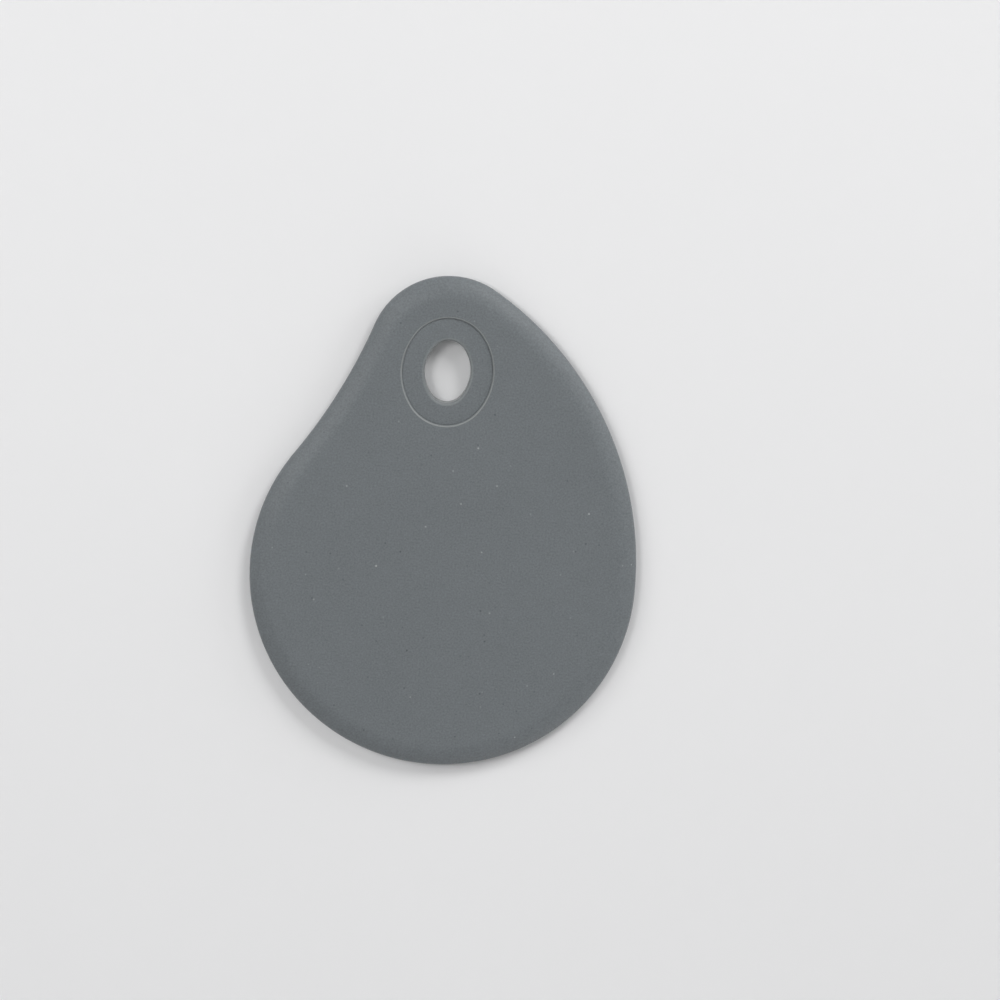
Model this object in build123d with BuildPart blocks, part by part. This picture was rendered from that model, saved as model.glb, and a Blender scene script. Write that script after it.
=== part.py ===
from build123d import *
import os

# A bowl scraper, lying flat on its back face, with all sizes in millimetres.
# Z runs through its thickness, Y runs up to the hang hole, and X runs to the right as its face is seen.
# The origin is under the middle of the outline, on the surface that the scraper lies on.

os.makedirs("parts", exist_ok=True)

# Outline, four arcs that each run smoothly into the next
overall_length = 135.7
belly_radius = 53.0
crown_radius = 22.0
crown_offset = 3.0
flank_radius = 92.0
waist_radius = 150.0

# Silicone jacket, with flat faces that arch down to a thin rim with a round nose
thickness = 6.0
border_width = 6.2
rim_thickness = 2.0
rim_nose = 0.5

# Hang hole, an oval whose sides swell out between its round ends
hole_width = 12.5
hole_height = 17.2
hole_swell = 1.2
hole_drop = 4.0

# Surround of the hang hole, which grips the core plate from both faces
surround_web = 3.0
surround_grip = 3.0
surround_step = 0.45
lip_chamfer = 0.5

# Core plate, with holes that the silicone runs through
core_thickness = 0.6
core_margin = 8.0
key_hole_radius = 3.0
key_hole_count = 6
key_ring_share = 0.6

# Places worked out from the sizes
middle = thickness / 2
middle_plane = Plane.XY.offset(middle)
belly_center = Vector(0, belly_radius - overall_length / 2)
belly_bottom = belly_center - Vector(0, belly_radius)
crown_center = Vector(-crown_offset, overall_length / 2 - crown_radius)
crown_top = crown_center + Vector(0, crown_radius)
hole_center = crown_center - Vector(0, hole_drop)


def window_edges(part):
    """The edges round the oval opening in a part's lowest and highest faces."""
    faces = part.faces().sort_by(Axis.Z)
    return [edge for face in (faces[0], faces[-1]) for edge in face.inner_wires()[0].edges()]


# Outline of the rim, seen from above
with BuildLine() as outline:
    crown = CenterArc(crown_center, crown_radius, 0, 360, mode=Mode.PRIVATE)
    belly = CenterArc(belly_center, belly_radius, 0, 360, mode=Mode.PRIVATE)
    flank = ConstrainedArcs(
        (crown, Tangency.ENCLOSING),
        (belly, Tangency.ENCLOSING),
        radius=flank_radius,
        selector=lambda arcs: arcs.sort_by(Axis.X)[-1],
    )
    waist = ConstrainedArcs(
        (crown, Tangency.OUTSIDE),
        (belly, Tangency.OUTSIDE),
        radius=waist_radius,
        selector=lambda arcs: arcs.sort_by(Axis.X)[0],
    )
    ThreePointArc(flank @ 1, crown_top, waist @ 1)
    ThreePointArc(waist @ 0, belly_bottom, flank @ 0)

rim_path = outline.wire().moved(Location((0, 0, middle)))

# Plane across the rim at the path's start, with X pointing out of the scraper and Y up
rim_start = rim_path @ 0
rim_along = rim_path % 0
rim_outward = Vector(rim_along.Y, -rim_along.X)
rim_plane = Plane(origin=rim_start, x_dir=rim_outward, z_dir=-rim_along)

# A slim lens in the middle of the hang hole, with its tips at the centres of the hole's round ends
end_radius = hole_width / 2 - hole_swell
lens_reach = Vector(0, hole_height / 2 - end_radius)
lens_swell = Vector(hole_swell, 0)
with BuildSketch(middle_plane) as lens:
    with BuildLine():
        ThreePointArc(hole_center - lens_reach, hole_center + lens_swell, hole_center + lens_reach)
        ThreePointArc(hole_center + lens_reach, hole_center - lens_swell, hole_center - lens_reach)
    make_face()

# The hang hole, the core plate's opening and the surround are ovals that lie evenly round the lens
with BuildSketch(middle_plane) as hang_hole:
    offset(lens.sketch_local, amount=end_radius)
with BuildSketch(middle_plane) as core_opening:
    offset(lens.sketch_local, amount=end_radius + surround_web)
with BuildSketch(middle_plane) as surround_oval:
    offset(lens.sketch_local, amount=end_radius + surround_web + surround_grip)


# Core plate: a thin springy sheet that stiffens the scraper from inside
key_ring_radius = key_ring_share * (belly_radius - core_margin)
with BuildPart() as core_plate:
    with BuildSketch(middle_plane):
        make_face(outline.edges())
        offset(amount=-core_margin, mode=Mode.REPLACE)
        add(core_opening.sketch_local, mode=Mode.SUBTRACT)
        with Locations(belly_center):
            Circle(key_hole_radius, mode=Mode.SUBTRACT)
            with PolarLocations(key_ring_radius, key_hole_count):
                Circle(key_hole_radius, mode=Mode.SUBTRACT)
    extrude(amount=core_thickness / 2, both=True)
core_plate.part.label = "core_plate"


# Silicone jacket: a flat middle, and an arched border swept round the outline
rim_half = rim_thickness / 2
border_drop = middle - rim_half
arch_width = border_width - rim_nose
arch_radius = (arch_width**2 + border_drop**2) / (2 * border_drop)
with BuildPart() as silicone_jacket:
    with BuildSketch(middle_plane):
        make_face(outline.edges())
        offset(amount=-border_width, mode=Mode.REPLACE)
    extrude(amount=middle, both=True)
    with BuildSketch(rim_plane):
        with BuildLine():
            RadiusArc((-border_width, middle), (-rim_nose, rim_half), arch_radius)
            ThreePointArc((-rim_nose, rim_half), (0, 0), (-rim_nose, -rim_half))
            RadiusArc((-rim_nose, -rim_half), (-border_width, -middle), arch_radius)
            Line((-border_width, -middle), (-border_width, middle))
        make_face()
    sweep(path=rim_path)
    # The window for the surround, with a bevelled edge that leads down to it on each face
    extrude(surround_oval.sketch, amount=middle, both=True, mode=Mode.SUBTRACT)
    chamfer(window_edges(silicone_jacket), length=surround_step)
    # The silicone lies on the core plate all over, and fills its holes
    add(core_plate.part, mode=Mode.SUBTRACT)
silicone_jacket.part.label = "silicone_jacket"


# Hole surround: an oval ring that wraps the edge of the core plate's opening from both faces
with BuildPart() as hole_surround:
    with BuildSketch(middle_plane):
        add(surround_oval.sketch_local)
        add(hang_hole.sketch_local, mode=Mode.SUBTRACT)
    extrude(amount=middle - surround_step, both=True)
    chamfer(window_edges(hole_surround), length=lip_chamfer)
    add(core_plate.part, mode=Mode.SUBTRACT)
hole_surround.part.label = "hole_surround"


for piece in (core_plate, silicone_jacket, hole_surround):
    export_step(piece.part, f"parts/{piece.part.label}.step")
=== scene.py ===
import math

import bmesh
import bpy
from bpy.props import FloatProperty, FloatVectorProperty, IntProperty, PointerProperty
from bpy.types import Operator, Panel, PropertyGroup
from mathutils import Euler, Matrix, Vector


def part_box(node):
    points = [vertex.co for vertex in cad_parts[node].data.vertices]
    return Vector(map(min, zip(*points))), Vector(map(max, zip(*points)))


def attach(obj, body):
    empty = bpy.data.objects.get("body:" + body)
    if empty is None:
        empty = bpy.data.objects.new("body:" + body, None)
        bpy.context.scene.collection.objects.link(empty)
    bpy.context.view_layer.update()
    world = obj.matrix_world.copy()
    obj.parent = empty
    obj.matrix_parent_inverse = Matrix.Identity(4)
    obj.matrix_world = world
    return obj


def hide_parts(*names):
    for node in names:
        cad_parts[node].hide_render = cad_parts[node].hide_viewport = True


bl_info = {
    "name": "Bowl Scraper",
    "version": (1, 0, 0),
    "blender": (4, 5, 0),
    "location": "3D View > Sidebar > Scraper",
    "description": "Moulds a silicone bowl scraper round its core plate and sets it on a lit stage",
    "category": "Mesh",
}

# All lengths are in metres. Z runs through the scraper's thickness, and Y runs up to the hang hole.
MM = 0.001

# The attribute of a mesh that says how pale each point of an edge is painted, from 0 to 1. It holds
# the parting line's pale flash, and painted highlight on the window's and the hang hole's edges.
PALE_FLASH_AND_PAINTED_HIGHLIGHT = "pale_flash_and_painted_highlight"

# How pale the parting line's flash is, and how strong the painted highlight is on the hang hole's
# edges, on the middle of the hole's wall and on the window's edge, which gets the strongest.
FLASH_WEAR = 0.6
LIP_PAINTED_HIGHLIGHT = 0.4
WALL_PAINTED_HIGHLIGHT = 0.9
WINDOW_PAINTED_HIGHLIGHT = 1.0

# The middle of a noise and of a shade, which both run from 0 to 1
MIDDLE = 0.5

# How long the steps of a sweep are along the rim, the window and the ring, and the fewest in an arc
RIM_STEP = 0.9 * MM
WINDOW_STEP = 0.5 * MM
RING_STEP = 0.4 * MM
FEWEST_STEPS = 4

# Points nearer to each other than this become one, on the scraper and on the backdrop
MERGE_REACH = 0.001 * MM
BACKDROP_MERGE_REACH = 0.1 * MM

# Where the flat beside the hang hole's rounded edge is held level, as a share of the round
LIP_SUPPORT_SHARE = 1.3

# Steps in the backdrop's bend, and round it
BEND_STEPS = 16
BACKDROP_STEPS = 96

# Width of the camera's sensor, in millimetres
SENSOR_WIDTH = 36

# The lamps: name, bearing and height angle in degrees, distance and width in metres, and power
LAMPS = (
    ("key_right", 60, 35, 1.5, 0.5, 5.45),
    ("key_left", 150, 35, 1.5, 0.5, 2.25),
    ("high_left", 150, 60, 1.5, 0.5, 3.8),
    ("low_right", 30, 15, 1.5, 0.6, 3.35),
    ("low_front", 300, 15, 1.5, 0.6, 1.65),
)

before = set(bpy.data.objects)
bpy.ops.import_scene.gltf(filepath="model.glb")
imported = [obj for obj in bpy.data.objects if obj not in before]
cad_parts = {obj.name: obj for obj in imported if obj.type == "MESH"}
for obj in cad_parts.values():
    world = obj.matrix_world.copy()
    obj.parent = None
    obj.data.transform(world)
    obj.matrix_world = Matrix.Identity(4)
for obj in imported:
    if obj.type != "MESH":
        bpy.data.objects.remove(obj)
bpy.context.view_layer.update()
jacket_low, jacket_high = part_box("silicone_jacket")
surround_low, surround_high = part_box("hole_surround")
core_low, core_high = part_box("core_plate")


# Sizes, finishes and stage settings that a user would change


def length(name, description, default):
    """A length setting, in metres."""
    return FloatProperty(
        name=name, description=description, default=default, min=0, unit="LENGTH", precision=5
    )


def colour(name, description, default):
    """A colour setting, as linear red, green and blue."""
    return FloatVectorProperty(
        name=name, description=description, default=default, min=0, max=1, size=3, subtype="COLOR"
    )


class OutlineSizes(PropertyGroup):
    """The four arcs of the scraper's outline."""

    overall_length: length(
        "Length", "From the foot of the belly to the top of the crown", jacket_high.y - jacket_low.y
    )
    belly_radius: length("Belly radius", "Round the wide end, on the middle line", 53 * MM)
    crown_radius: length("Crown radius", "Round the end with the hang hole", 22 * MM)
    crown_offset: length("Crown offset", "How far the crown stands left of the belly", 3 * MM)
    flank_radius: length("Flank radius", "Of the long bulging side", 92 * MM)
    waist_radius: length("Waist radius", "Of the hollow side", 150 * MM)


class JacketSizes(PropertyGroup):
    """The silicone jacket's section."""

    border_width: length("Border width", "From the flat's edge to the rim", 6.2 * MM)
    rim_thickness: length("Rim thickness", "Between the arched faces, at the nose", 2 * MM)
    rim_nose: length("Rim nose", "How far the round nose stands out", 0.5 * MM)
    flash_height: length("Flash height", "Of the parting line that the mould leaves", 0.05 * MM)
    flash_width: length("Flash width", "Of the parting line that the mould leaves", 0.24 * MM)
    window_round: length("Window round", "Where the flat turns down to the window", 0.12 * MM)
    window_slope: FloatProperty(
        name="Window slope",
        description="How steeply the window's edge leads down to the surround",
        default=math.radians(48),
        subtype="ANGLE",
    )


class SurroundSizes(PropertyGroup):
    """The hole surround's section, out from the hang hole."""

    ring_width: length("Ring width", "From the hang hole to the window's wall", 6 * MM)
    grip_depth: length("Grip depth", "How deep the core plate's edge sits in the ring", 3 * MM)
    hole_swell: length("Hole swell", "How far the sides stand out past the round ends", 1.2 * MM)
    lip_round: length("Lip round", "Of the hang hole's edges", 0.65 * MM)
    seam_round: length("Seam round", "Of the edge that meets the jacket", 0.2 * MM)


class Finishes(PropertyGroup):
    """Colours of the materials, and the sizes of the silicone's marks."""

    silicone: colour("Silicone", "Mid grey silicone", (0.15, 0.166, 0.175))
    # The pale flash of the parting line, and the painted highlight on the window's and hang hole's
    # edges
    flash_and_highlight_silicone: colour("Worn silicone", "Rubbed or dusty silicone", (0.262, 0.276, 0.273))
    pale_speck: colour("Pale speck", "Dust in the silicone", (0.47, 0.48, 0.47))
    steel: colour("Steel", "Rolled stainless sheet", (0.55, 0.55, 0.56))
    floor: colour("Floor", "Pale matt board", (0.86, 0.86, 0.865))
    grain_size: length("Grain size", "Of the mould's fine grain", 0.5 * MM)
    mottle_size: length("Mottle size", "Of the faint mottling", 3.2 * MM)
    cloud_size: length("Cloud size", "Of the wide faint clouds", 22 * MM)
    speck_radius: length("Speck radius", "Of the largest specks", 0.26 * MM)
    pale_spacing: length("Pale spacing", "Between places for pale specks", 3.2 * MM)
    dark_spacing: length("Dark spacing", "Between places for dark specks", 2.1 * MM)


class StageSettings(PropertyGroup):
    """The camera, the lamps and the backdrop."""

    camera_place: FloatVectorProperty(
        name="Camera place",
        description="Where the camera stands",
        default=(-3 * MM, 190.8 * MM, 1137.06 * MM),
        unit="LENGTH",
        precision=5,
    )
    camera_turn: FloatVectorProperty(
        name="Camera turn",
        description="Turn from looking straight down",
        default=tuple(math.radians(angle) for angle in (-9.223, -0.123, 4.558)),
        subtype="EULER",
        precision=5,
    )
    focal_length: FloatProperty(
        name="Focal length", description="Of the lens, in millimetres", default=151.02, min=1
    )
    floor_radius: length("Floor radius", "Of the flat part of the backdrop", 1.3)
    backdrop_bend: length("Backdrop bend", "Radius between the floor and the wall", 0.6)
    backdrop_wall: length("Backdrop wall", "Height of the wall above the bend", 0.9)
    lamp_spread: FloatProperty(
        name="Lamp spread",
        description="How widely each lamp shines, so that the floor near it stays plain",
        default=math.radians(150),
        subtype="ANGLE",
    )
    sky_strength: FloatProperty(
        name="Sky strength", description="Of the even light from all round", default=0.29, min=0
    )


class ScraperSettings(PropertyGroup):
    """Everything that the panel shows."""

    outline: PointerProperty(type=OutlineSizes)
    jacket: PointerProperty(type=JacketSizes)
    surround: PointerProperty(type=SurroundSizes)
    finishes: PointerProperty(type=Finishes)
    stage: PointerProperty(type=StageSettings)
    fineness: IntProperty(
        name="Fineness", description="Steps in a small round", default=6, min=2, max=16
    )


# Outlines, as chains of arcs that run smoothly into one another


class Arc:
    """An arc in the XY plane, drawn from one angle through a signed sweep."""

    def __init__(self, center, start, sweep, radius):
        self.center = Vector((center[0], center[1], 0))
        self.start = start
        self.sweep = sweep
        self.radius = radius

    def steps(self, step_length):
        """How many steps of about that length it takes."""
        return max(FEWEST_STEPS, round(abs(self.sweep) * self.radius / step_length))


def left_meeting(first, first_reach, second, second_reach):
    """The point at two distances from two centres, left of the line between them."""
    apart = (second - first).length
    along = (second - first).normalized()
    ahead = (apart**2 + first_reach**2 - second_reach**2) / (2 * apart)
    aside = math.sqrt(first_reach**2 - ahead**2)
    return first + along * ahead + Vector((-along.y, along.x)) * aside


def bearing(origin, target):
    """The angle from X of the line from one point to another."""
    return math.atan2(target.y - origin.y, target.x - origin.x)


def turn_from(start, end):
    """The turn, from none to one whole turn anticlockwise, that leads from one angle to another."""
    return (end - start) % math.tau


def rim_arcs(outline):
    """The flank, crown, waist and belly, anticlockwise from the foot of the flank."""
    half_length = outline.overall_length / 2
    belly = Vector((0, outline.belly_radius - half_length))
    crown = Vector((-outline.crown_offset, half_length - outline.crown_radius))
    flank = left_meeting(
        belly,
        outline.flank_radius - outline.belly_radius,
        crown,
        outline.flank_radius - outline.crown_radius,
    )
    waist = left_meeting(
        belly,
        outline.waist_radius + outline.belly_radius,
        crown,
        outline.waist_radius + outline.crown_radius,
    )
    flank_start = bearing(flank, belly)
    flank_end = bearing(flank, crown)
    crown_end = bearing(crown, waist)
    waist_start = bearing(waist, crown)
    waist_end = bearing(waist, belly)
    belly_start = bearing(belly, waist)
    return (
        Arc(flank, flank_start, turn_from(flank_start, flank_end), outline.flank_radius),
        Arc(crown, flank_end, turn_from(flank_end, crown_end), outline.crown_radius),
        Arc(waist, waist_start, -turn_from(waist_end, waist_start), outline.waist_radius),
        Arc(belly, belly_start, turn_from(belly_start, flank_start), outline.belly_radius),
    )


def window_arcs(swell):
    """The oval that the surround and the jacket's window share, from the surround's box."""
    center = (surround_low + surround_high) / 2
    half_width = (surround_high.x - surround_low.x) / 2
    half_height = (surround_high.y - surround_low.y) / 2
    end_radius = half_width - swell
    rise = half_height - end_radius
    side_radius = end_radius + (rise**2 + swell**2) / (2 * swell)
    setback = side_radius - half_width
    turn = math.atan2(rise, setback)
    return (
        Arc((center.x - setback, center.y), -turn, 2 * turn, side_radius),
        Arc((center.x, center.y + rise), turn, math.pi - 2 * turn, end_radius),
        Arc((center.x + setback, center.y), math.pi - turn, 2 * turn, side_radius),
        Arc((center.x, center.y - rise), math.pi + turn, math.pi - 2 * turn, end_radius),
    )


# Mesh tools


class Pen:
    """Draws a profile in the XZ plane, stroke by stroke, with X pointing outwards."""

    def __init__(self, mesh, x, z):
        self.mesh = mesh
        # Each point keeps how pale it is painted: pale flash, and painted highlight on edges
        self.flash_and_highlight = mesh.verts.layers.float.get(PALE_FLASH_AND_PAINTED_HIGHLIGHT) or mesh.verts.layers.float.new(PALE_FLASH_AND_PAINTED_HIGHLIGHT)
        self.tip = bmesh.ops.create_vert(mesh, co=(x, 0, z))["vert"][0]
        self.first = self.tip

    def line(self, x, z, flash_and_highlight=0.0):
        """A straight stroke to a point, painted as pale as said."""
        self.tip = bmesh.ops.extrude_vert_indiv(self.mesh, verts=[self.tip])["verts"][0]
        self.tip.co = (x, 0, z)
        self.tip[self.flash_and_highlight] = flash_and_highlight

    def arc(self, x, z, turn, steps):
        """A round stroke about a point, anticlockwise with X to the right and Z up.

        All of it is painted as pale as its start.
        """
        stroke = bmesh.ops.spin(
            self.mesh, geom=[self.tip], cent=(x, 0, z), axis=(0, -1, 0), angle=turn, steps=steps
        )
        last = stroke["geom_last"]
        self.tip = next(item for item in last if isinstance(item, bmesh.types.BMVert))

    def close(self):
        """A straight stroke back to the start."""
        bmesh.ops.contextual_create(self.mesh, geom=[self.tip, self.first])


def sweep_ring(mesh, profile, arcs, step_length):
    """Sweeps a profile, drawn with the ring's edge at X 0, round a closed chain of arcs."""
    first = arcs[0]
    points = [item for item in profile if isinstance(item, bmesh.types.BMVert)]
    bmesh.ops.translate(mesh, verts=points, vec=(first.radius, 0, 0))
    turn = Matrix.Rotation(first.start, 3, "Z")
    bmesh.ops.rotate(mesh, verts=points, cent=(0, 0, 0), matrix=turn)
    bmesh.ops.translate(mesh, verts=points, vec=first.center)
    for arc in arcs:
        swept = bmesh.ops.spin(
            mesh,
            geom=profile,
            cent=arc.center,
            axis=(0, 0, 1),
            angle=arc.sweep,
            steps=arc.steps(step_length),
        )
        profile = swept["geom_last"]
    bmesh.ops.remove_doubles(mesh, verts=mesh.verts, dist=MERGE_REACH)


def drawn(mesh, known):
    """The vertices and edges of a mesh that aren't known yet."""
    return [item for item in [*mesh.verts, *mesh.edges] if item not in known]


def fill_flats(mesh):
    """Fills the openings between the mesh's open loops, level by level."""
    middle = (jacket_low.z + jacket_high.z) / 2
    open_edges = [edge for edge in mesh.edges if edge.is_boundary]
    for upper in (True, False):
        level = [edge for edge in open_edges if (edge.verts[0].co.z > middle) == upper]
        bmesh.ops.triangle_fill(mesh, edges=level, use_beauty=True)


def finish_mesh(mesh, name, sharp_angle=math.radians(40)):
    """Turns a bmesh into a smooth shaded object at the origin."""
    bmesh.ops.recalc_face_normals(mesh, faces=mesh.faces)
    for face in mesh.faces:
        face.smooth = True
    data = bpy.data.meshes.new(name)
    mesh.to_mesh(data)
    mesh.free()
    data.set_sharp_from_angle(angle=sharp_angle)
    piece = bpy.data.objects.new(name, data)
    bpy.context.scene.collection.objects.link(piece)
    return piece


# Material tools


def add_node(tree, kind, inputs=(), **settings):
    """A node with its settings and its unlinked inputs, given by name or number."""
    node = tree.nodes.new(kind)
    for key, value in settings.items():
        setattr(node, key, value)
    for key, value in dict(inputs).items():
        node.inputs[key].default_value = value
    return node


def math_node(tree, operation, first, second=None, clamp=False):
    """A Math node on two sources, each an output or a number. Gives its output."""
    node = add_node(tree, "ShaderNodeMath", operation=operation, use_clamp=clamp)
    for socket, source in zip(node.inputs, (first, second)):
        if isinstance(source, bpy.types.NodeSocket):
            tree.links.new(source, socket)
        elif source is not None:
            socket.default_value = source
    return node.outputs[0]


def new_group(name, inputs, outputs):
    """An empty shader group with named sockets. Gives its tree, group input and group output."""
    tree = bpy.data.node_groups.new(name, "ShaderNodeTree")
    for label, kind in inputs:
        tree.interface.new_socket(label, in_out="INPUT", socket_type=kind)
    for label, kind in outputs:
        tree.interface.new_socket(label, in_out="OUTPUT", socket_type=kind)
    return tree, tree.nodes.new("NodeGroupInput"), tree.nodes.new("NodeGroupOutput")


def scaled_point(tree, point, size):
    """The point's coordinates counted in a feature size, which is a socket in metres."""
    inverse = math_node(tree, "DIVIDE", 1.0, size)
    scaled = add_node(tree, "ShaderNodeVectorMath", operation="SCALE")
    tree.links.new(point, scaled.inputs["Vector"])
    tree.links.new(inverse, scaled.inputs["Scale"])
    return scaled.outputs["Vector"]


def noise(tree, point, detail, roughness):
    """A noise texture with unit features. Gives its factor."""
    texture = add_node(
        tree, "ShaderNodeTexNoise", {"Scale": 1.0, "Detail": detail, "Roughness": roughness}
    )
    tree.links.new(point, texture.inputs["Vector"])
    return texture.outputs[0]


def mould_grain_group():
    """The fine matt grain that a spark eroded mould leaves: its height, and the shade in it."""
    tree, source, result = new_group(
        "mould_grain",
        [("Point", "NodeSocketVector"), ("Grain Size", "NodeSocketFloat")],
        [("Height", "NodeSocketFloat"), ("Shade", "NodeSocketFloat")],
    )
    point = scaled_point(tree, source.outputs["Point"], source.outputs["Grain Size"])
    grain = noise(tree, point, detail=3.0, roughness=0.65)
    tree.links.new(grain, result.inputs["Height"])
    tree.links.new(math_node(tree, "SUBTRACT", grain, MIDDLE), result.inputs["Shade"])
    return tree


def bloom_group():
    """Soft clouds, as handling leaves on silicone, from minus a half to plus a half."""
    tree, source, result = new_group(
        "handling_bloom",
        [("Point", "NodeSocketVector"), ("Cloud Size", "NodeSocketFloat")],
        [("Cloud", "NodeSocketFloat")],
    )
    point = scaled_point(tree, source.outputs["Point"], source.outputs["Cloud Size"])
    cloud = noise(tree, point, detail=4.0, roughness=0.6)
    tree.links.new(math_node(tree, "SUBTRACT", cloud, MIDDLE), result.inputs["Cloud"])
    return tree


def specks_group():
    """Stray specks: small round spots in a few cells of a loose net."""
    # A speck's size is a draw from 0 to 1 plus this, scaled so that the largest comes out at 1
    least_size = 0.6
    # How many radii out a speck is gone. It fades over the last one of them.
    fade_end = 1.5
    # The power of the draw that gives a speck's strength, so that few are strong
    rarity = 2.0
    tree, source, result = new_group(
        "stray_specks",
        [
            ("Point", "NodeSocketVector"),
            ("Spacing", "NodeSocketFloat"),
            ("Speck Radius", "NodeSocketFloat"),
            ("Kept Share", "NodeSocketFloat"),
        ],
        [("Mask", "NodeSocketFloat")],
    )
    net = add_node(tree, "ShaderNodeTexVoronoi", {"Scale": 1.0, "Randomness": 1.0})
    point = scaled_point(tree, source.outputs["Point"], source.outputs["Spacing"])
    tree.links.new(point, net.inputs["Vector"])
    draw = add_node(tree, "ShaderNodeSeparateColor")
    tree.links.new(net.outputs["Color"], draw.inputs["Color"])
    size = math_node(tree, "ADD", draw.outputs["Blue"], least_size)
    size = math_node(tree, "MULTIPLY", size, 1 / (1 + least_size))
    reach = math_node(tree, "DIVIDE", source.outputs["Speck Radius"], source.outputs["Spacing"])
    reach = math_node(tree, "MULTIPLY", reach, size)
    nearness = math_node(tree, "DIVIDE", net.outputs["Distance"], reach)
    spot = math_node(tree, "SUBTRACT", fade_end, nearness, clamp=True)
    kept = math_node(tree, "LESS_THAN", draw.outputs["Red"], source.outputs["Kept Share"])
    strength = math_node(tree, "POWER", draw.outputs["Green"], rarity)
    strength = math_node(tree, "MULTIPLY", kept, strength)
    tree.links.new(math_node(tree, "MULTIPLY", spot, strength), result.inputs["Mask"])
    return tree


def placed_group(tree, group, point, **values):
    """A group in a material, reading the given point, with its own values."""
    node = add_node(tree, "ShaderNodeGroup", node_tree=group)
    tree.links.new(point, node.inputs["Point"])
    for key, value in values.items():
        node.inputs[key.replace("_", " ").title()].default_value = value
    return node


def mixed(tree, factor, first, second):
    """A colour mix of two sources, each an output or a colour, by a factor output."""
    node = add_node(tree, "ShaderNodeMix", data_type="RGBA")
    tree.links.new(factor, node.inputs["Factor"])
    for name, source in (("A", first), ("B", second)):
        socket = next(s for s in node.inputs if s.name == name and s.type == "RGBA")
        if isinstance(source, bpy.types.NodeSocket):
            tree.links.new(source, socket)
        else:
            socket.default_value = source
    return next(s for s in node.outputs if s.type == "RGBA")


def opaque(rgb, share=1.0):
    """A colour with full alpha, made lighter or darker by a share."""
    return (*(channel * share for channel in rgb), 1.0)


def new_material(name, constants):
    """A material with a Principled shader. Gives the material, its tree and the shader."""
    material = bpy.data.materials.new(name)
    material.use_nodes = True
    tree = material.node_tree
    shader = tree.nodes["Principled BSDF"]
    for key, value in constants.items():
        shader.inputs[key].default_value = value
    return material, tree, shader


def object_point(tree, offset=(0, 0, 0)):
    """The place on the object, moved by an offset so that two pieces don't share a pattern."""
    coordinates = tree.nodes.new("ShaderNodeTexCoord")
    mapping = add_node(tree, "ShaderNodeMapping", {"Location": offset})
    tree.links.new(coordinates.outputs["Object"], mapping.inputs["Vector"])
    return mapping.outputs["Vector"]


def silicone_material(name, finishes, offset):
    """Matt moulded silicone: fine grain, mottling, clouds, pale flash, painted highlight on edges,
    pale and dark specks.
    """
    # How strongly each pattern shades the base, and how much lighter or darker it gets at most
    grain_shade, mottle_shade, cloud_shade = 2.2, 0.32, 0.16
    contrast = 0.2
    # How pale the flash and a full painted highlight on an edge are where no cloud lies
    full_flash_and_highlight = 0.9
    # How many of the net's cells have a speck, and how bright the dark ones are against the base
    kept_share = 0.3
    dark_share = 0.45
    # How rough the surface is, and how far the clouds vary that
    roughness, cloud_roughness = 0.5, 0.16
    material, tree, shader = new_material(
        name, {"IOR": 1.41, "Sheen Weight": 0.12, "Sheen Roughness": 0.5}
    )
    groups = bpy.data.node_groups
    point = object_point(tree, offset)
    grain = placed_group(tree, groups["mould_grain"], point, grain_size=finishes.grain_size)
    clouds = placed_group(tree, groups["handling_bloom"], point, cloud_size=finishes.cloud_size)
    mottle = placed_group(tree, groups["handling_bloom"], point, cloud_size=finishes.mottle_size)
    pale, dark = (
        placed_group(
            tree,
            groups["stray_specks"],
            point,
            spacing=spacing,
            speck_radius=finishes.speck_radius,
            kept_share=kept_share,
        )
        for spacing in (finishes.pale_spacing, finishes.dark_spacing)
    )

    # Colour: grain and clouds shade the base a little, the flash and the painted highlight on edges
    # are paler, and specks lie on top
    shade = math_node(tree, "MULTIPLY", grain.outputs["Shade"], grain_shade)
    for pattern, share in ((clouds, cloud_shade), (mottle, mottle_shade)):
        shading = math_node(tree, "MULTIPLY", pattern.outputs["Cloud"], share)
        shade = math_node(tree, "ADD", shade, shading)
    shade = math_node(tree, "ADD", shade, MIDDLE, clamp=True)
    base = finishes.silicone
    body = mixed(tree, shade, opaque(base, 1 - contrast), opaque(base, 1 + contrast))
    # The edge attribute paints the flash pale and paints highlight on the window's and hole's edges
    flash_and_highlight = add_node(tree, "ShaderNodeAttribute", attribute_name=PALE_FLASH_AND_PAINTED_HIGHLIGHT)
    patches = math_node(tree, "ADD", clouds.outputs["Cloud"], full_flash_and_highlight)
    flash_and_highlight_mask = math_node(tree, "MULTIPLY", flash_and_highlight.outputs["Fac"], patches, clamp=True)
    edged = mixed(tree, flash_and_highlight_mask, body, opaque(finishes.flash_and_highlight_silicone))
    speckled = mixed(tree, pale.outputs["Mask"], edged, opaque(finishes.pale_speck))
    speckled = mixed(tree, dark.outputs["Mask"], speckled, opaque(base, dark_share))
    tree.links.new(speckled, shader.inputs["Base Color"])

    # Gloss: a soft matt that the clouds vary
    gloss = math_node(tree, "MULTIPLY", clouds.outputs["Cloud"], cloud_roughness)
    gloss = math_node(tree, "ADD", gloss, roughness)
    tree.links.new(gloss, shader.inputs["Roughness"])

    # Height: the grain, with the pale specks standing on it
    height = math_node(tree, "ADD", grain.outputs["Height"], pale.outputs["Mask"])
    bump = add_node(tree, "ShaderNodeBump", {"Strength": 0.35, "Distance": 0.02 * MM})
    tree.links.new(height, bump.inputs["Height"])
    tree.links.new(bump.outputs["Normal"], shader.inputs["Normal"])
    return material


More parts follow.
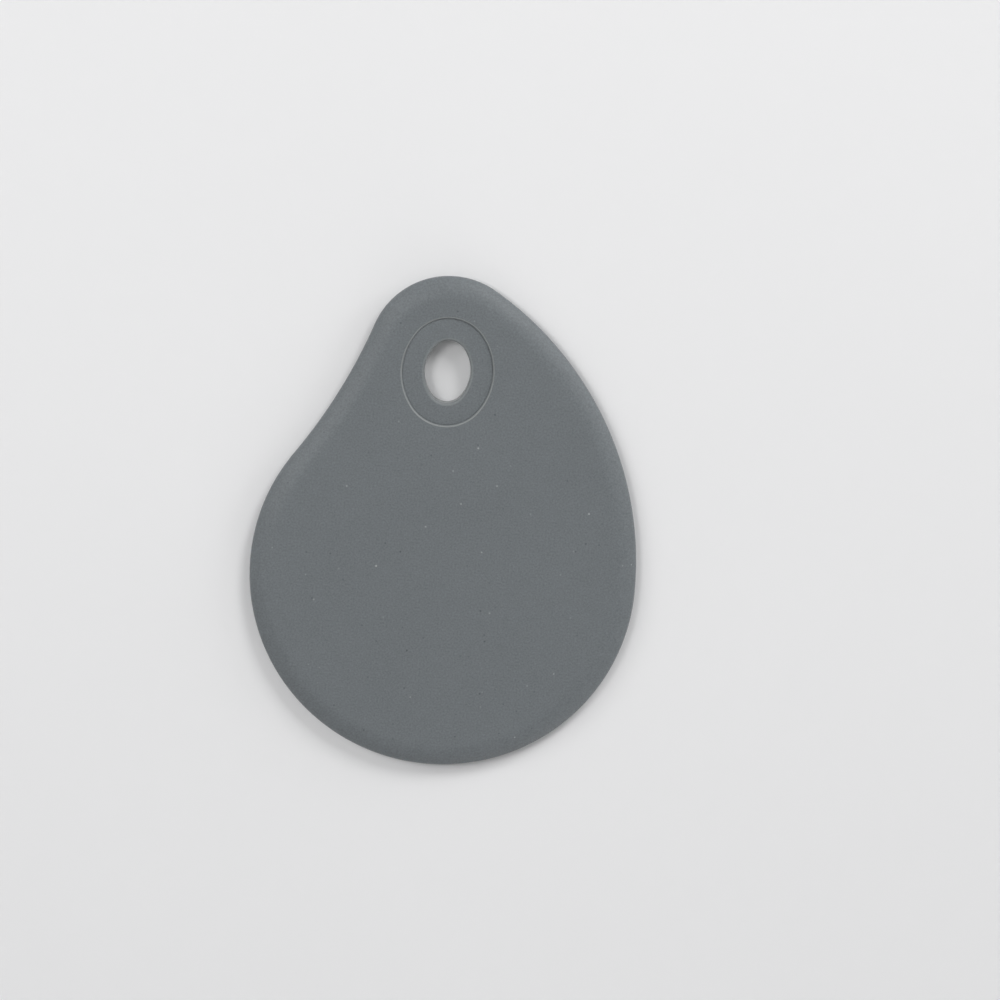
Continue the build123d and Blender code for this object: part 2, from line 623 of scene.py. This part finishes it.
def steel_material(name, base):
    """Rolled stainless sheet: bright, with fine lines along its length."""
    line_width, line_stretch = 0.12 * MM, 0.02
    cloud_size = 30 * MM
    dark_share, light_share = 0.88, 1.08
    roughness, line_roughness = 0.34, 0.2
    material, tree, shader = new_material(name, {"Metallic": 1.0, "Anisotropic": 0.4})
    point = object_point(tree)
    stretched = add_node(tree, "ShaderNodeMapping", {"Scale": (1.0, line_stretch, 1.0)})
    tree.links.new(point, stretched.inputs["Vector"])
    groups = bpy.data.node_groups
    along = stretched.outputs["Vector"]
    lines = placed_group(tree, groups["mould_grain"], along, grain_size=line_width)
    clouds = placed_group(tree, groups["handling_bloom"], point, cloud_size=cloud_size)
    shade = math_node(tree, "ADD", lines.outputs["Shade"], clouds.outputs["Cloud"])
    shade = math_node(tree, "ADD", shade, MIDDLE, clamp=True)
    body = mixed(tree, shade, opaque(base, dark_share), opaque(base, light_share))
    tree.links.new(body, shader.inputs["Base Color"])
    gloss = math_node(tree, "MULTIPLY", lines.outputs["Shade"], line_roughness)
    tree.links.new(math_node(tree, "ADD", gloss, roughness), shader.inputs["Roughness"])
    bump = add_node(tree, "ShaderNodeBump", {"Strength": 0.25, "Distance": 0.01 * MM})
    tree.links.new(lines.outputs["Height"], bump.inputs["Height"])
    tree.links.new(bump.outputs["Normal"], shader.inputs["Normal"])
    return material


def board_material(name, base):
    """The pale matt board that the floor and backdrop are made of."""
    cloud_size = 250 * MM
    contrast = 0.015
    material, tree, shader = new_material(name, {"Roughness": 0.9, "Specular IOR Level": 0.2})
    bloom = bpy.data.node_groups["handling_bloom"]
    clouds = placed_group(tree, bloom, object_point(tree), cloud_size=cloud_size)
    shade = math_node(tree, "ADD", clouds.outputs["Cloud"], MIDDLE, clamp=True)
    body = mixed(tree, shade, opaque(base, 1 - contrast), opaque(base, 1 + contrast))
    tree.links.new(body, shader.inputs["Base Color"])
    return material


# Operators, one for each piece and one for the stage


class SCRAPER_OT_silicone_jacket(Operator):
    """Mould the silicone jacket, with its arched border, its parting line and its window"""

    bl_idname = "scraper.silicone_jacket"
    bl_label = "Silicone Jacket"

    def execute(self, context):
        settings = context.scene.scraper
        sizes = settings.jacket
        mesh = bmesh.new()
        self.draw_border(mesh, sizes, settings.fineness)
        sweep_ring(mesh, drawn(mesh, ()), rim_arcs(settings.outline), RIM_STEP)
        border = set(drawn(mesh, ()))
        self.draw_window(mesh, sizes, settings.fineness)
        window = window_arcs(settings.surround.hole_swell)
        sweep_ring(mesh, drawn(mesh, border), window, WINDOW_STEP)
        fill_flats(mesh)
        piece = finish_mesh(mesh, "jacket_moulding")
        silicone = silicone_material("jacket_silicone", settings.finishes, (0, 0, 0))
        piece.data.materials.append(silicone)
        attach(piece, "root")
        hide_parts("silicone_jacket")
        return {"FINISHED"}

    def draw_border(self, mesh, sizes, fineness):
        """Half a section through the jacket, from the upper flat round the rim to the lower one."""
        top = jacket_high.z
        foot = jacket_low.z
        middle = (top + foot) / 2
        rim_half = sizes.rim_thickness / 2
        flat_edge = -sizes.border_width
        support = flat_edge - sizes.rim_nose
        nose_start = -sizes.rim_nose
        arch_width = sizes.border_width - sizes.rim_nose
        arch_drop = top - middle - rim_half
        arch_radius = (arch_width**2 + arch_drop**2) / (2 * arch_drop)
        arch_turn = math.asin(arch_width / arch_radius)

        # The nose, drawn in by the height of the flash that the parting line leaves on it
        nose_depth = sizes.rim_nose - sizes.flash_height
        nose_radius = (nose_depth**2 + rim_half**2) / (2 * nose_depth)
        nose_center = -sizes.flash_height - nose_radius
        flash_half = sizes.flash_width / 2
        nose_turn = math.asin(rim_half / nose_radius) - math.asin(flash_half / nose_radius)
        flash_foot = nose_center + math.sqrt(nose_radius**2 - flash_half**2)

        pen = Pen(mesh, support, top)
        pen.line(flat_edge, top)
        pen.arc(flat_edge, top - arch_radius, -arch_turn, 2 * fineness)
        pen.arc(nose_center, middle, -nose_turn, fineness)
        pen.line(0, middle + flash_half / 2, flash_and_highlight=FLASH_WEAR)
        pen.line(0, middle - flash_half / 2, flash_and_highlight=FLASH_WEAR)
        pen.line(flash_foot, middle - flash_half)
        pen.arc(nose_center, middle, -nose_turn, fineness)
        pen.line(nose_start, middle - rim_half)
        pen.arc(flat_edge, foot + arch_radius, -arch_turn, 2 * fineness)
        pen.line(support, foot)

    def draw_window(self, mesh, sizes, fineness):
        """A section through the window's wall, from the upper flat to the lower flat."""
        top = jacket_high.z
        foot = jacket_low.z
        step = top - surround_high.z
        turn = sizes.window_slope
        radius = sizes.window_round
        drop = radius * (1 - math.cos(turn))
        run = (step - drop) / math.tan(turn)
        shoulder = run + radius * math.sin(turn)
        support = shoulder + radius
        pen = Pen(mesh, support, top)
        # The window's upper sloped edge is painted paler all round, as painted highlight
        pen.line(shoulder, top, flash_and_highlight=WINDOW_PAINTED_HIGHLIGHT)
        pen.arc(shoulder, top - radius, turn, fineness)
        pen.line(0, top - step)
        pen.line(0, foot + step)
        # The window's lower sloped edge gets the same painted highlight
        pen.line(run, foot + drop, flash_and_highlight=WINDOW_PAINTED_HIGHLIGHT)
        pen.arc(shoulder, foot + radius, turn, fineness)
        pen.line(support, foot)


class SCRAPER_OT_hole_surround(Operator):
    """Mould the ring round the hang hole, with the slot that grips the core plate"""

    bl_idname = "scraper.hole_surround"
    bl_label = "Hole Surround"

    def execute(self, context):
        settings = context.scene.scraper
        sizes = settings.surround
        mesh = bmesh.new()
        self.draw_ring(mesh, sizes, settings.fineness)
        sweep_ring(mesh, drawn(mesh, ()), window_arcs(sizes.hole_swell), RING_STEP)
        piece = finish_mesh(mesh, "surround_moulding")
        pattern_offset = (50 * MM, 30 * MM, 20 * MM)
        silicone = silicone_material("surround_silicone", settings.finishes, pattern_offset)
        piece.data.materials.append(silicone)
        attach(piece, "root")
        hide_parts("hole_surround")
        return {"FINISHED"}

    def draw_ring(self, mesh, sizes, fineness):
        """A section through the ring, anticlockwise from its upper outer edge."""
        top = surround_high.z
        foot = surround_low.z
        seam = sizes.seam_round
        lip = sizes.lip_round
        wall = -sizes.ring_width
        slot_end = -sizes.grip_depth
        support = wall + LIP_SUPPORT_SHARE * lip
        quarter = math.pi / 2
        pen = Pen(mesh, 0, top - seam)
        pen.arc(-seam, top - seam, quarter, fineness)
        pen.line(support, top)
        # The hang hole's rounded edges and the middle of its wall are painted paler, as painted
        # highlight
        pen.line(wall + lip, top, flash_and_highlight=LIP_PAINTED_HIGHLIGHT)
        pen.arc(wall + lip, top - lip, quarter, 2 * fineness)
        pen.line(wall, (top + foot) / 2, flash_and_highlight=WALL_PAINTED_HIGHLIGHT)
        pen.line(wall, foot + lip, flash_and_highlight=LIP_PAINTED_HIGHLIGHT)
        pen.arc(wall + lip, foot + lip, quarter, 2 * fineness)
        pen.line(support, foot)
        pen.line(-seam, foot)
        pen.arc(-seam, foot + seam, quarter, fineness)
        pen.line(0, core_low.z)
        pen.line(slot_end, core_low.z)
        pen.line(slot_end, core_high.z)
        pen.line(0, core_high.z)
        pen.close()


class SCRAPER_OT_core_plate(Operator):
    """Finish the springy steel plate inside the silicone"""

    bl_idname = "scraper.core_plate"
    bl_label = "Core Plate"

    def execute(self, context):
        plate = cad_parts["core_plate"]
        steel = steel_material("rolled_steel", context.scene.scraper.finishes.steel)
        for material_slot in plate.material_slots:
            material_slot.material = steel
        return {"FINISHED"}


class SCRAPER_OT_stage(Operator):
    """Set the floor, the backdrop, the lamps and the camera"""

    bl_idname = "scraper.stage"
    bl_label = "Stage"

    def execute(self, context):
        settings = context.scene.scraper
        self.build_backdrop(context, settings)
        self.hang_lamps(context, settings.stage)
        self.light_sky(context, settings.stage)
        self.set_camera(context, settings.stage)
        context.scene.view_settings.view_transform = "Standard"
        return {"FINISHED"}

    def build_backdrop(self, context, settings):
        """A round floor that bends up into a wall on every side."""
        stage = settings.stage
        mesh = bmesh.new()
        pen = Pen(mesh, 0, 0)
        pen.line(stage.floor_radius, 0)
        pen.arc(stage.floor_radius, stage.backdrop_bend, math.pi / 2, BEND_STEPS)
        wall_radius = stage.floor_radius + stage.backdrop_bend
        pen.line(wall_radius, stage.backdrop_bend + stage.backdrop_wall)
        bmesh.ops.spin(
            mesh,
            geom=drawn(mesh, ()),
            cent=(0, 0, 0),
            axis=(0, 0, 1),
            angle=math.tau,
            steps=BACKDROP_STEPS,
            use_merge=True,
        )
        bmesh.ops.remove_doubles(mesh, verts=mesh.verts, dist=BACKDROP_MERGE_REACH)
        backdrop = finish_mesh(mesh, "backdrop")
        backdrop.data.materials.append(board_material("pale_board", settings.finishes.floor))

    def hang_lamps(self, context, stage):
        """Soft square lamps that face the scraper."""
        for name, bearing_angle, rise, distance, width, power in LAMPS:
            data = bpy.data.lights.new(name, "AREA")
            data.size = width
            data.energy = power
            data.spread = stage.lamp_spread
            lamp = bpy.data.objects.new(name, data)
            turn = Euler((0, -math.radians(rise), math.radians(bearing_angle))).to_matrix()
            direction = turn @ Vector((1, 0, 0))
            lamp.location = direction * distance
            lamp.rotation_mode = "QUATERNION"
            lamp.rotation_quaternion = direction.to_track_quat("Z", "Y")
            lamp.visible_camera = False
            context.scene.collection.objects.link(lamp)

    def light_sky(self, context, stage):
        """Even light from all round."""
        world = bpy.data.worlds.new("soft_sky")
        world.use_nodes = True
        background = world.node_tree.nodes["Background"]
        background.inputs["Color"].default_value = opaque((1, 1, 1))
        background.inputs["Strength"].default_value = stage.sky_strength
        context.scene.world = world

    def set_camera(self, context, stage):
        """The camera of the main view."""
        data = bpy.data.cameras.new("main_camera")
        data.sensor_width = SENSOR_WIDTH
        data.lens = stage.focal_length
        camera = bpy.data.objects.new("main_camera", data)
        camera.location = stage.camera_place
        camera.rotation_euler = stage.camera_turn
        context.scene.collection.objects.link(camera)
        context.scene.camera = camera


class SCRAPER_PT_pieces(Panel):
    """The scraper's pieces and their sizes"""

    bl_label = "Bowl Scraper"
    bl_idname = "SCRAPER_PT_pieces"
    bl_space_type = "VIEW_3D"
    bl_region_type = "UI"
    bl_category = "Scraper"

    def draw(self, context):
        layout = self.layout
        settings = context.scene.scraper
        layout.prop(settings, "fineness")
        for part in ("outline", "jacket", "surround", "finishes", "stage"):
            group = getattr(settings, part)
            box = layout.box()
            box.label(text=part.title())
            for name in group.bl_rna.properties.keys():
                if name not in ("rna_type", "name"):
                    box.prop(group, name)
        for operator in OPERATORS:
            layout.operator(operator.bl_idname)


OPERATORS = (
    SCRAPER_OT_silicone_jacket,
    SCRAPER_OT_hole_surround,
    SCRAPER_OT_core_plate,
    SCRAPER_OT_stage,
)
CLASSES = (
    OutlineSizes,
    JacketSizes,
    SurroundSizes,
    Finishes,
    StageSettings,
    ScraperSettings,
    *OPERATORS,
    SCRAPER_PT_pieces,
)


def register():
    for cls in CLASSES:
        bpy.utils.register_class(cls)
    bpy.types.Scene.scraper = PointerProperty(type=ScraperSettings)


def unregister():
    del bpy.types.Scene.scraper
    for cls in reversed(CLASSES):
        bpy.utils.unregister_class(cls)


def main():
    register()
    for build_group in (mould_grain_group, bloom_group, specks_group):
        build_group()
    bpy.ops.scraper.silicone_jacket()
    bpy.ops.scraper.hole_surround()
    bpy.ops.scraper.core_plate()
    bpy.ops.scraper.stage()


if __name__ == "__main__":
    main()
